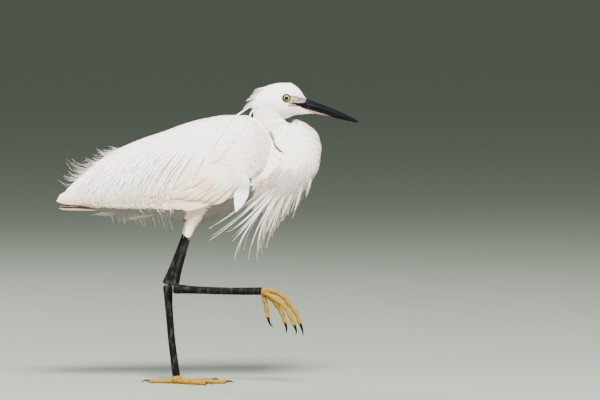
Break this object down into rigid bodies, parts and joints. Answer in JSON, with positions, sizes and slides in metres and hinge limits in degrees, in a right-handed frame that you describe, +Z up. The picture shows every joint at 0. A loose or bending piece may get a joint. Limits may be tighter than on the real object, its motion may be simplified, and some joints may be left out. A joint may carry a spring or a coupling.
{
  "type": "little egret",
  "caption": "White wading bird at rest on its left leg, right foot lifted and neck drawn in, with a dagger bill, black legs, yellow toes and long hanging breast and back plumes.",
  "frame": {"origin": "middle of the standing left foot's sole, at floor level", "axes": "+X the way the bird faces, +Y its left, +Z up"},
  "size_m": [0.3864, 0.1076, 0.3854],
  "materials": {
    "white_feather": "white body, flight and display feathers, matt",
    "black_horn": "black horn of the bill, satin, bluer towards its base",
    "yellow_eye": "wet pale yellow eye with a black pupil",
    "black_leg": "black scaly leg skin",
    "yellow_foot": "mustard yellow scaly toe skin",
    "dark_claw": "dark horn claws"
  },
  "bodies": {
    "root": {"head": "white_feather", "neck": "white_feather", "breast": "white_feather", "torso": "white_feather", "mantle": "white_feather", "wing_right": "white_feather", "wing_left": "white_feather", "tail": "white_feather", "thigh_right": "white_feather", "thigh_left": "white_feather", "bill_upper": "black_horn", "bill_lower": "black_horn", "eye_right": "yellow_eye", "eye_left": "yellow_eye", "shin_right": "black_leg", "shin_left": "black_leg", "shank_right": "black_leg", "shank_left": "black_leg", "foot_right": "yellow_foot", "foot_left": "yellow_foot", "claw_right_middle": "dark_claw", "claw_right_outer": "dark_claw", "claw_right_inner": "dark_claw", "claw_right_hind": "dark_claw", "claw_left_middle": "dark_claw", "claw_left_outer": "dark_claw", "claw_left_inner": "dark_claw", "claw_left_hind": "dark_claw"}
  },
  "joints": []
}
